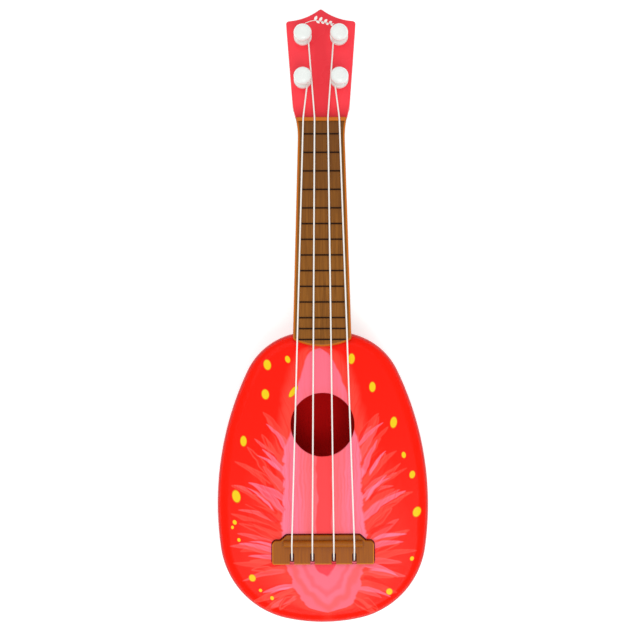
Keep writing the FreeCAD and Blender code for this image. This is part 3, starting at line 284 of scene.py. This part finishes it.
def fruit_print():
    """The soundboard's print: a pink core, brush strokes that fan out of it, red flesh and yellow seeds."""
    red = srgb(255, 25, 4)
    coral = srgb(252, 76, 64)
    rose = srgb(253, 98, 100)
    pink = srgb(253, 114, 136)
    light = srgb(254, 128, 158)
    g = Graph("fruit_print", roughness=0.22, specular=0.1)
    place, plain_x, plain_y, z = g.place()
    drift = g.noise(place, 0.05, detail=1.0)
    shake = g.noise(place, 0.16, detail=1.0)
    sway = g.ramp(plain_y, [(-165.0, 2.4), (-145.0, 1.6), (-120.0, 0.2), (-70.0, 0.0), (-25.0, -1.8)])
    x = g.math("SUBTRACT", plain_x, sway)
    x = g.math("ADD", x, g.math("MULTIPLY_ADD", drift, 3.0, -1.5))
    x = g.math("ADD", x, g.math("MULTIPLY_ADD", shake, 2.4, -1.2))
    y = g.math("ADD", plain_y, g.math("MULTIPLY_ADD", drift, -3.0, 1.5))
    out = g.math("ABSOLUTE", x)
    side = g.math("GREATER_THAN", x, 0.0)
    beyond = g.math("SUBTRACT", out, g.ramp(y, CORE))
    away = g.math("MAXIMUM", beyond, 0.0)

    # A soft halo of paler flesh, streaked along the strokes.
    slopes = [(station, math.tan(math.radians(rise))) for station, rise in RISE if rise < 66.0]
    slope = g.ramp(y, slopes)
    root_at = g.math("SUBTRACT", y, g.math("MULTIPLY", slope, away))
    lane = g.combine(root_at, g.math("MULTIPLY_ADD", side, 40.0, g.math("MULTIPLY", away, 0.05)))
    bristle = g.step(g.noise(lane, 0.9, detail=3.0, roughness=0.6), 0.25, 0.62, 0.55, 1.0)
    reach = g.ramp(y, [(-176.0, 3.0), (-160.0, 17.0), (-135.0, 27.0), (-100.0, 24.0), (-78.0, 15.0),
                       (-40.0, 7.5), (-20.0, 4.0)])
    near = g.limit(g.math("SUBTRACT", 1.0, g.math("DIVIDE", away, reach)))
    halo = g.math("MULTIPLY", near, g.step(g.noise(lane, 0.22, detail=2.0), 0.35, 0.6, 0.2, 1.0))
    colour = g.blend(g.math("MULTIPLY", halo, 0.55), red, coral)
    glow = g.math("MULTIPLY", g.step(beyond, 10.0, 3.0), g.step(g.noise(lane, 0.5), 0.25, 0.6, 0.5, 1.0))
    glow = g.math("MULTIPLY", glow, g.step(y, -88.0, -70.0, 0.25, 0.75))
    colour = g.blend(glow, colour, srgb(252, 78, 64))

    # Brush strokes: tint, how many on each side, the ranges of half width, length, share and start, and how
    # far the stroke's middle is left out.
    tree = stroke_group()
    draw = random.Random(5)
    layers = ((coral, 13, (2.6, 3.8), (22.0, 33.0), (0.7, 1.0), (-3.0, 1.0), 0.2),
              (rose, 9, (2.0, 3.0), (18.0, 28.0), (0.65, 0.95), (-3.0, 3.0), 0.3),
              (red, 11, (1.4, 2.6), (14.0, 24.0), (0.85, 1.0), (-1.0, 5.0), 0.0),
              (coral, 8, (2.2, 3.2), (13.0, 21.0), (0.8, 1.0), (2.0, 10.0), 0.9),
              (pink, 7, (1.9, 2.9), (17.0, 28.0), (0.85, 1.0), (-3.0, 0.0), 0.2),
              (light, 4, (1.2, 1.8), (12.0, 19.0), (0.8, 1.0), (0.0, 6.0), 0.0))
    for hand in (-1.0, 1.0):
        for tint, count, widths, lengths, shares, starts, hollow in layers:
            for number in range(count):
                down = (number + draw.uniform(0.1, 0.9)) / count
                along = -74.0 - 94.0 * down
                rise = between(RISE, along) + draw.uniform(-8.0, 16.0)
                angle = math.radians(rise if hand > 0.0 else 180.0 - rise)
                size = 0.72 + 0.4 * math.sin(math.pi * down)
                begin = hand * (between(CORE, along) + draw.uniform(*starts))
                values = (x, y, bristle, begin, along, math.cos(angle), math.sin(angle),
                          draw.uniform(*lengths) * size, draw.uniform(*widths),
                          -hand * draw.uniform(1.0, 7.0), draw.uniform(*shares), hollow)
                node = g.node("ShaderNodeGroup", node_tree=tree)
                for socket, value in zip(node.inputs, values):
                    g.put(socket, value)
                colour = g.blend(node.outputs[0], colour, tint)

    # The core: fine lengthwise streaks, a stripe down to the bridge and nested chevrons below it.
    streak = g.noise(g.combine(x, g.math("MULTIPLY", y, 0.03)), 0.9, detail=3.0)
    body = g.blend(g.step(out, 8.0, 17.0, 0.0, 0.75), srgb(253, 112, 124), light)
    body = g.blend(g.step(streak, 0.42, 0.7, 0.0, 0.55), body, rose)
    body = g.blend(g.step(y, -52.0, -40.0, 0.0, 0.6), body, srgb(253, 120, 148))
    stripe = g.step(g.math("ABSOLUTE", g.math("SUBTRACT", x, 0.8)), 5.2, 3.9)
    stripe = g.math("MULTIPLY", stripe, g.step(y, -70.0, -78.0))
    body = g.blend(stripe, body, srgb(253, 72, 76))
    wave = g.math("MULTIPLY_ADD", g.noise(place, 0.11, detail=1.0), 8.0, -4.0)
    across = g.math("POWER", g.math("DIVIDE", g.math("ABSOLUTE", g.math("ADD", x, wave)), 21.0), 1.35)
    deep = g.math("POWER", g.limit(g.math("DIVIDE", g.math("SUBTRACT", -144.5, y), 27.0)), 1.35)
    level = g.math("POWER", g.math("ADD", across, deep), 1.0 / 1.35)
    nest = g.blend(g.step(level, 0.25, 0.31), srgb(252, 64, 80), srgb(253, 112, 132))
    for low, soft, tint in ((0.52, 0.12, srgb(253, 98, 112)), (0.66, 0.10, srgb(253, 114, 134)),
                            (0.80, 0.12, srgb(253, 96, 102)), (0.97, 0.12, srgb(253, 108, 126))):
        nest = g.blend(g.step(level, low, low + soft), nest, tint)
    body = g.blend(g.step(plain_y, -135.0, -138.0), body, nest)
    ragged = g.math("MULTIPLY_ADD", g.noise(lane, 0.2, detail=2.0), 7.0, -3.5)
    ragged = g.math("MULTIPLY", ragged, g.step(y, -74.0, -90.0, 0.15, 1.0))
    colour = g.blend(g.step(g.math("ADD", beyond, ragged), 0.7, -0.7), colour, body)

    for seed_x, seed_y, wide, tall, lean in SEEDS:
        turn = math.radians(lean)
        dx = g.math("SUBTRACT", plain_x, seed_x)
        dy = g.math("SUBTRACT", plain_y, seed_y)
        u = g.math("ADD", g.math("MULTIPLY", dx, math.cos(turn) / wide),
                   g.math("MULTIPLY", dy, math.sin(turn) / wide))
        v = g.math("SUBTRACT", g.math("MULTIPLY", dy, math.cos(turn) / tall),
                   g.math("MULTIPLY", dx, math.sin(turn) / tall))
        size = g.math("ADD", g.math("MULTIPLY", u, u), g.math("MULTIPLY", v, v))
        colour = g.blend(g.step(size, 1.4, 1.05), colour, srgb(226, 108, 14))
        colour = g.blend(g.step(size, 1.1, 0.75), colour, srgb(246, 208, 28))

    # The print is on the outside of the soundboard only. The bridge's seat, up to the string holes, gets
    # painted shade in deep red, and so does the seam between the shells.
    outside = g.math("MULTIPLY", g.step(g.facing()[0], 0.25, 0.6), g.step(z, 33.0, 34.0))
    colour = g.blend(outside, srgb(220, 22, 14), colour)
    # Painted shade: a thin dark red line where the shells meet.
    colour = g.blend(g.step(z, PARTING + 0.3, PARTING + 0.1), colour, srgb(120, 6, 8))
    # Painted shade: the seat round the bridge, up to the string holes, is deep red.
    seat_shade = g.math("MULTIPLY", g.step(plain_y, -143.9, -143.1), g.math("LESS_THAN", plain_y, -120.0))
    seat_shade = g.math("MULTIPLY", seat_shade, g.math("LESS_THAN", g.math("ABSOLUTE", plain_x), 34.0))
    seat_shade = g.math("MULTIPLY", seat_shade, g.step(z, 35.95, 35.75))
    colour = g.blend(seat_shade, colour, srgb(104, 4, 12))
    return g.finish(colour, height=g.noise(place, 1.2, detail=2.0), depth=0.004)


def red_plastic(name, base, shade, inside):
    """Glossy red moulding with faint flow shading, matt on its inner floor, with painted shade in dark red
    at its upper seam.
    """
    g = Graph(name, roughness=0.25, specular=0.12)
    place, _, _, z = g.place()
    colour = g.blend(g.step(g.noise(place, 0.03, detail=2.0), 0.35, 0.65), base, shade)
    within = g.math("MULTIPLY", g.step(g.facing()[0], 0.3, 0.7), g.step(z, 30.0, 20.0))
    colour = g.blend(within, colour, inside)
    # Painted shade: a thin dark red line where the shells meet.
    colour = g.blend(g.step(z, PARTING - 0.3, PARTING - 0.1), colour, srgb(120, 6, 8))
    rough = g.step(g.noise(place, 0.05), 0.3, 0.7, 0.2, 0.28)
    rough = g.math("MAXIMUM", rough, g.math("MULTIPLY", within, 0.8))
    return g.finish(colour, roughness=rough, height=g.noise(place, 1.2), depth=0.004)


def head_red():
    """The head's front: red, a little darker down the middle and towards the nut."""
    g = Graph("head_red", roughness=0.25, specular=0.16)
    place, x, y, _ = g.place()
    out = g.math("ABSOLUTE", x)
    soft = g.math("MULTIPLY_ADD", g.noise(place, 0.08), 6.0, -3.0)
    centre = g.step(g.math("ADD", out, soft), 8.5, 2.0, 0.0, 0.9)
    colour = g.blend(centre, srgb(255, 62, 74), srgb(234, 48, 60))
    colour = g.blend(g.step(y, 123.0, 115.0, 0.0, 0.7), colour, srgb(222, 40, 50))
    colour = g.blend(g.step(y, 166.0, 176.0, 0.0, 0.5), colour, srgb(232, 58, 72))
    rough = g.step(g.noise(place, 0.05), 0.3, 0.7, 0.24, 0.32)
    return g.finish(colour, roughness=rough, height=g.noise(place, 1.2), depth=0.004)


def wood_plastic(name, dark, pale, rim, lit_above=None, highlight_below=None):
    """Brown moulding with faint lengthwise streaks. Its rounded edges that do not face the nut get a
    lighter painted highlight, only below one level if that is given, and so does all that is above another."""
    g = Graph(name, roughness=0.34, specular=0.16)
    _, x, y, z = g.place()
    grain = g.noise(g.combine(x, g.math("MULTIPLY", y, 0.035), z), 1.3, detail=4.0, roughness=0.65)
    broad = g.noise(g.combine(x, g.math("MULTIPLY", y, 0.06), z), 0.16, detail=2.0)
    colour = g.blend(g.step(grain, 0.3, 0.7), dark, pale)
    colour = g.blend(g.step(broad, 0.4, 0.65, 0.0, 0.4), colour, pale)
    up, towards_nut = g.facing()
    colour = g.blend(g.step(y, 20.0, 112.0, 0.0, 0.55), colour, srgb(98, 54, 10))
    # Painted highlight: rounded edges that do not face the nut, on the key light's side, take the lighter
    # rim colour.
    edge = g.math("MULTIPLY", g.step(up, 0.985, 0.9), g.step(up, 0.02, 0.35))
    edge = g.math("MULTIPLY", edge, g.step(towards_nut, 0.55, 0.05))
    if highlight_below is not None:
        edge = g.math("MULTIPLY", edge, g.step(z, highlight_below + 0.3, highlight_below, 0.15, 1.0))
    # Painted highlight: all above this level, such as the nut, takes the rim colour.
    if lit_above is not None:
        edge = g.math("MAXIMUM", edge, g.step(z, lit_above, lit_above + 0.3))
    colour = g.blend(edge, colour, rim)
    rough = g.step(grain, 0.3, 0.7, 0.28, 0.42)
    return g.finish(colour, roughness=rough, height=grain, depth=0.03)


def fret_plastic():
    """Nearly black brown bars."""
    g = Graph("fret_plastic", roughness=0.6, specular=0.08)
    place, _, _, _ = g.place()
    colour = g.blend(g.noise(place, 1.2), srgb(30, 12, 2), srgb(48, 22, 6))
    return g.finish(colour, height=g.noise(place, 3.0), depth=0.01)


def white_plastic():
    """Glossy white moulding, slightly translucent."""
    g = Graph("white_plastic", roughness=0.22, specular=0.5, coat=0.2)
    place, _, _, _ = g.place()
    g.shader.inputs["Subsurface Weight"].default_value = 0.15
    g.shader.inputs["Subsurface Radius"].default_value = (0.002, 0.002, 0.002)
    colour = g.blend(g.noise(place, 0.2), srgb(243, 247, 243), srgb(236, 240, 236))
    rough = g.step(g.noise(place, 1.0), 0.3, 0.7, 0.18, 0.3)
    return g.finish(colour, roughness=rough, height=g.noise(place, 1.2), depth=0.004)


def nylon():
    """White nylon line with faint drawn streaks."""
    g = Graph("nylon", roughness=0.3, specular=0.5)
    place, _, _, _ = g.place()
    colour = g.blend(g.noise(place, 0.5), srgb(255, 252, 248), srgb(246, 240, 232))
    return g.finish(colour, roughness=g.step(g.noise(place, 2.0), 0.3, 0.7, 0.25, 0.4))


def washer_plastic():
    """Matt off-white nylon."""
    g = Graph("washer_plastic", roughness=0.6, specular=0.3)
    place, _, _, _ = g.place()
    colour = g.blend(g.noise(place, 0.4), srgb(222, 220, 212), srgb(205, 202, 192))
    return g.finish(colour, height=g.noise(place, 2.0), depth=0.02)


def steel():
    """Zinc-plated steel with fine scratches."""
    g = Graph("steel", roughness=0.3)
    place, _, _, _ = g.place()
    g.shader.inputs["Metallic"].default_value = 1.0
    scratch = g.noise(place, 4.0, detail=4.0, roughness=0.7)
    colour = g.blend(scratch, srgb(190, 190, 194), srgb(150, 151, 156))
    return g.finish(colour, roughness=g.step(scratch, 0.3, 0.7, 0.22, 0.42), height=scratch, depth=0.01)


# ---------------------------------------------------------------- shapes


def paint(item, material):
    """Gives an object one material."""
    item.data.materials.clear()
    item.data.materials.append(material)


def add_piece(name, mesh, material, body, stands_for=()):
    """Puts a new mesh in the scene, on a CAD body, with one material."""
    item = bpy.data.objects.new(name, mesh)
    bpy.context.scene.collection.objects.link(item)
    paint(item, material)
    mesh.shade_smooth()
    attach(item, body)
    if stands_for:
        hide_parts(*stands_for)
    return item


def head_point(x, along, up):
    """A place on the tilted head, in millimetres of its own frame, as a row-frame point in millimetres."""
    cosine, sine = math.cos(HEAD_TILT), math.sin(HEAD_TILT)
    return Vector((x, NUT_AT + along * cosine + up * sine, HEAD_FACE - along * sine + up * cosine))


def smooth_points(route, step=0.8):
    """Points along a route whose corners are rounded: each item is a place and its corner's trim."""
    points = [route[0][0]]
    for before, (corner, trim), after in zip(route, route[1:], route[2:]):
        back = (before[0] - corner).normalized() * trim
        forward = (after[0] - corner).normalized() * trim
        count = max(3, int(trim / step))
        for number in range(count + 1):
            t = number / count
            points.append(corner + back * (1.0 - t) ** 2 + forward * t ** 2)
    points.append(route[-1][0])
    return points


def tube_mesh(name, points, radius, sides=16):
    """A round tube with closed, slightly domed ends along a list of points in millimetres."""
    build = bmesh.new()
    rings = []
    normal = None
    for number, point in enumerate(points):
        ahead = points[min(number + 1, len(points) - 1)] - points[max(number - 1, 0)]
        ahead.normalize()
        if normal is None:
            normal = ahead.orthogonal().normalized()
        normal = (normal - ahead * normal.dot(ahead)).normalized()
        other = ahead.cross(normal)
        ring = []
        for spoke in range(sides):
            turn = 2.0 * math.pi * spoke / sides
            offset = normal * math.cos(turn) + other * math.sin(turn)
            ring.append(build.verts.new((point + offset * radius) * MM))
        rings.append(ring)
    for low, high in zip(rings, rings[1:]):
        for spoke in range(sides):
            following = (spoke + 1) % sides
            build.faces.new((low[spoke], low[following], high[following], high[spoke]))
    for ring, point, near in ((rings[0], points[0], points[1]), (rings[-1], points[-1], points[-2])):
        tip = build.verts.new((point + (point - near).normalized() * radius * 0.5) * MM)
        for spoke in range(sides):
            build.faces.new((ring[spoke], ring[(spoke + 1) % sides], tip))
    bmesh.ops.recalc_face_normals(build, faces=build.faces)
    mesh = bpy.data.meshes.new(name)
    build.to_mesh(mesh)
    build.free()
    return mesh


def lathe_grid(build, rings, sides, place):
    """Adds a closed turned shape. Each ring gives a point for an angle, or is one point for a pole."""
    rows = []
    for ring in rings:
        if isinstance(ring, Vector):
            rows.append([build.verts.new(place @ ring)] * sides)
        else:
            rows.append([build.verts.new(place @ ring(2.0 * math.pi * k / sides)) for k in range(sides)])
    for low, high in zip(rows, rows[1:]):
        for k in range(sides):
            corners = [low[k], low[(k + 1) % sides], high[(k + 1) % sides], high[k]]
            unique = list(dict.fromkeys(corners))
            if len(unique) > 2:
                build.faces.new(unique)


def screw_rings(shank, head, head_height, length):
    """Rings of a pan-head screw with a cross recess and a raised thread. Its seat is at z 0, its tip up."""
    pitch = shank * 0.75

    def top(radius):
        def ring(turn):
            x, y = radius * math.cos(turn), radius * math.sin(turn)
            arm = min(abs(x), abs(y))
            long = max(abs(x), abs(y))
            cut = 0.55 * head_height if arm < 0.16 * head and long < 0.56 * head else 0.0
            return Vector((x, y, -head_height + cut))
        return ring

    def plain(radius, height):
        return lambda turn: Vector((radius * math.cos(turn), radius * math.sin(turn), height))

    def threaded(height):
        def ring(turn):
            phase = (height / pitch - turn / (2.0 * math.pi)) % 1.0
            rise = max(0.0, 1.0 - abs(phase - 0.5) * 5.0)
            fade = min(1.0, max(0.0, (length - height) / (shank * 2.2)))
            radius = shank * (0.78 + 0.22 * rise) * (0.25 + 0.75 * fade)
            return Vector((radius * math.cos(turn), radius * math.sin(turn), height))
        return ring

    rings = [Vector((0.0, 0.0, -head_height * 0.45))]
    rings += [top(head * share) for share in (0.1, 0.145, 0.165, 0.3, 0.42, 0.54, 0.58, 0.7)]
    rings += [plain(head * 0.88, -head_height * 0.93), plain(head * 0.97, -head_height * 0.7),
              plain(head, -head_height * 0.4), plain(head, -0.02), plain(shank * 0.9, 0.0)]
    count = int(length / pitch * 8)
    rings += [threaded(length * number / count) for number in range(1, count)]
    rings.append(Vector((0.0, 0.0, length)))
    return rings


def screw_set(name, places, sizes, material, body, node):
    """All the screws of one CAD node as one piece. Each place is a matrix with +Z along the shank."""
    build = bmesh.new()
    for place in places:
        lathe_grid(build, screw_rings(*sizes), 40, place)
    bmesh.ops.recalc_face_normals(build, faces=build.faces)
    mesh = bpy.data.meshes.new(name)
    build.to_mesh(mesh)
    build.free()
    add_piece(name, mesh, material, body, [node])


def standing(x, y, z, tilted=False):
    """A matrix in metres for something that stands at a place given in millimetres."""
    turn = Matrix.Rotation(-HEAD_TILT, 4, "X") if tilted else Matrix.Identity(4)
    return Matrix.Translation(Vector((x, y, z)) * MM) @ turn @ Matrix.Scale(MM, 4)


# ---------------------------------------------------------------- the guitar


def paint_cad():
    """Materials for the CAD nodes that stay."""
    # The last colour of each brown is that of its painted highlight.
    brown = wood_plastic("wood_plastic", srgb(142, 73, 0), srgb(162, 88, 8), srgb(222, 136, 40),
                         highlight_below=BRIDGE_TOP)
    board = wood_plastic("board_plastic", srgb(116, 67, 8), srgb(150, 92, 22), srgb(202, 108, 20),
                         lit_above=BOARD_TOP + 0.6)
    red = red_plastic("red_plastic", srgb(220, 22, 14), srgb(212, 18, 12), srgb(214, 2, 4))
    white = white_plastic()
    washer = washer_plastic()
    materials = {
        "body_front_shell": fruit_print(),
        "body_back_shell": red,
        "headstock_cover": head_red(),
        "fingerboard": board,
        "bridge": brown,
        "neck_back": brown,
        "frets": fret_plastic(),
    }
    for number in range(1, 5):
        materials[f"tuner_peg_{number}"] = white
        materials[f"tuner_knob_{number}"] = white
        materials[f"tuner_washer_{number}"] = washer
    for node, material in materials.items():
        paint(frame["nodes"][node], material)


def peg_axes():
    """The four tuners' places on the head, across and along, from the joints of the record."""
    places = []
    for joint in frame["joints"]:
        x, y, _ = (value / MM for value in joint["pos_m"])
        places.append((x, (y - NUT_AT) / math.cos(HEAD_TILT)))
    return places


def add_strings():
    """Strings over the saddle and the nut to their spools, and the turns wound on each spool."""
    material = nylon()
    for number, (tail, nut, peg) in enumerate(zip(STRING_TAILS, STRING_NUTS, peg_axes()), start=1):
        hand = 1.0 if peg[0] > 0.0 else -1.0
        end = head_point(peg[0] - hand * SPOOL_LINE, peg[1], SPOOL_LEVEL)
        route = [
            (Vector((tail, STRING_HOLE_AT, 31.0)), 0.0),
            (Vector((tail, STRING_HOLE_AT, 37.0)), 2.2),
            (Vector((tail, SADDLE_AT - 0.64, 42.8)), 2.4),
            (Vector((nut, NUT_AT - 0.3, NUT_TOP)), 2.0),
            (end, 0.0),
        ]
        mesh = tube_mesh(f"string_line_{number}", smooth_points(route), STRING_RADIUS)
        add_piece(f"string_line_{number}", mesh, material, ROOT, [f"string_{number}"])
        knot = tube_mesh(f"string_knot_{number}", knot_points(tail), STRING_RADIUS)
        add_piece(f"string_knot_{number}", knot, material, ROOT)
        turns = tube_mesh(f"string_turns_{number}", winding_points(peg, hand), STRING_RADIUS)
        add_piece(f"string_turns_{number}", turns, material, f"tuner_{number}",
                  [f"string_winding_{number}"])


def knot_points(x):
    """A knot under the soundboard, as a small tight coil of line."""
    points = []
    for number in range(61):
        turn = 2.0 * math.pi * number / 20.0
        radius = 0.95 + 0.2 * math.sin(turn * 0.5)
        points.append(Vector((x + radius * math.cos(turn), STRING_HOLE_AT + radius * math.sin(turn),
                              KNOT_LEVEL - 0.02 * number)))
    return points


def winding_points(peg, hand):
    """The turns of line down a spool, from where the string meets it, ending inside the spool."""
    points = []
    count = 100
    for number in range(count + 1):
        share = number / count
        start = math.pi if hand > 0.0 else 0.0
        turn = start - hand * share * SPOOL_TURNS * 2.0 * math.pi
        radius = SPOOL_LINE - max(0.0, share - 0.95) * 16.0
        level = SPOOL_LEVEL - share * SPOOL_FALL
        points.append(head_point(peg[0] + radius * math.cos(turn), peg[1] + radius * math.sin(turn), level))
    return points


def add_screws():
    """Threaded, cross-recessed screws in place of the CAD's plain ones."""
    metal = steel()
    casing = [standing(hand * x, y, CASING_SEAT) for x, y in CASING_SCREWS for hand in (1.0, -1.0)]
    saddle = [standing(x, SADDLE_AT, SADDLE_SEAT) for x in SADDLE_SCREWS]
    board = [standing(0.0, y, BOARD_SEAT) for y in BOARD_SCREWS]
    tongue = [standing(0.0, y, TONGUE_SEAT) for y in TONGUE_SCREWS]
    head = [standing(*head_point(0.0, along, HEAD_SEAT), tilted=True) for along in HEAD_SCREWS]
    groups = (("casing_screws", casing, 11.0, "body_screws"),
              ("saddle_screws", saddle, 5.6, "bridge_screws"),
              ("board_screws", board, 11.6, "neck_screws"),
              ("tongue_screws", tongue, 11.0, "neck_joint_screws"),
              ("head_screws", head, 8.0, "headstock_screws"))
    for name, places, length, node in groups:
        screw_set(name, places, (*LARGE_SCREW, length), metal, ROOT, node)
    for number, peg in enumerate(peg_axes(), start=1):
        place = standing(*head_point(*peg, KNOB_SEAT), tilted=True)
        screw_set(f"knob_screw_{number}", [place], (*SMALL_SCREW, 5.8), metal, f"tuner_{number}",
                  f"tuner_screw_{number}")


def add_sprig():
    """A small white leaf sprig near the tip of the head."""
    build = bmesh.new()
    top, bottom = 0.1, -0.02

    def leaf(x, along, angle, length, width):
        turn = math.radians(angle)
        rim = []
        for number in range(LEAF_POINTS):
            share = number / LEAF_POINTS
            u = 0.5 - 0.5 * math.cos(2.0 * math.pi * share)
            bulge = math.sin(math.pi * u) ** 0.8 * (1.0 if share < 0.5 else -1.0)
            u, v = u * length, bulge * width / 2.0
            rim.append((x + u * math.cos(turn) - v * math.sin(turn),
                        along + u * math.sin(turn) + v * math.cos(turn)))
        layers = [[build.verts.new(head_point(px, py, up) * MM) for px, py in rim]
                  for up in (top, bottom)]
        build.faces.new(layers[0])
        build.faces.new(list(reversed(layers[1])))
        for k in range(len(rim)):
            following = (k + 1) % len(rim)
            build.faces.new((layers[0][k], layers[1][k], layers[1][following], layers[0][following]))

    def stem(share):
        return -9.4 + 16.8 * share, 58.6 + 1.7 * math.sin(share * 4.6) * (1.0 - 0.3 * share) + 1.0 * share

    for number in range(24):
        x, along = stem(number / 24.0)
        ahead = stem((number + 1.3) / 24.0)
        angle = math.degrees(math.atan2(ahead[1] - along, ahead[0] - x))
        leaf(x, along, angle, math.hypot(ahead[0] - x, ahead[1] - along) + 0.3, 0.5)
    for number in range(4):
        x, along = stem(0.34 + 0.17 * number)
        leaf(x, along, 64.0 - 8.0 * number, 3.3 - 0.35 * number, 1.7)
        leaf(x + 1.0, along, -40.0 - 5.0 * number, 2.7 - 0.25 * number, 1.5)
    bmesh.ops.recalc_face_normals(build, faces=build.faces)
    mesh = bpy.data.meshes.new("head_sprig")
    build.to_mesh(mesh)
    build.free()
    add_piece("head_sprig", mesh, nylon(), ROOT)
    mesh.shade_flat()


# ---------------------------------------------------------------- stage


def add_stage():
    """A pale floor that glows as painted light, an even white surround and two large soft lights."""
    mesh = bpy.data.meshes.new("floor")
    size, level = 3.0, -0.0003
    corners = [(-size, -size, level), (size, -size, level), (size, size, level), (-size, size, level)]
    mesh.from_pydata(corners, [], [(0, 1, 2, 3)])
    floor = bpy.data.objects.new("floor", mesh)
    bpy.context.scene.collection.objects.link(floor)
    g = Graph("glowing_floor_paper", roughness=0.9, specular=0.05)
    place, _, _, _ = g.place()
    # Painted light: the floor glows faintly cyan-white. This washes out the shade beside the guitar,
    # offsets its red bounce and lights it from below.
    g.shader.inputs["Emission Color"].default_value = (0.8, 1.0, 1.0, 1.0)
    g.shader.inputs["Emission Strength"].default_value = 0.5
    paint(floor, g.finish(g.blend(g.noise(place, 0.02), (0.93, 0.93, 0.93, 1.0), (0.90, 0.90, 0.90, 1.0))))

    world = bpy.data.worlds.new("studio")
    bpy.context.scene.world = world
    world.use_nodes = True
    world.node_tree.nodes["Background"].inputs["Color"].default_value = (1.0, 1.0, 1.0, 1.0)
    world.node_tree.nodes["Background"].inputs["Strength"].default_value = 0.6
    lamps = (("key", (0.15, -0.7, 1.45), 9.4, 0.9), ("fill", (-0.3, 0.6, 1.4), 4.2, 1.2))
    for name, place, power, width in lamps:
        lamp = bpy.data.lights.new(name, "AREA")
        lamp.energy = power
        lamp.size = width
        item = bpy.data.objects.new(name, lamp)
        item.location = place
        item.rotation_euler = (-Vector(place)).to_track_quat("-Z", "Y").to_euler()
        bpy.context.scene.collection.objects.link(item)


def add_camera():
    """A long lens straight above the guitar."""
    data = bpy.data.cameras.new("camera")
    data.lens = 97.0
    data.sensor_width = 36.0
    camera = bpy.data.objects.new("camera", data)
    camera.location = (-0.00122, -0.00336, 1.036)
    camera.rotation_euler = (0.0, 0.0, math.radians(-0.25))
    bpy.context.scene.collection.objects.link(camera)
    bpy.context.scene.camera = camera
    bpy.context.scene.view_settings.view_transform = "Standard"


add_camera()
paint_cad()
add_strings()
add_screws()
add_sprig()
add_stage()
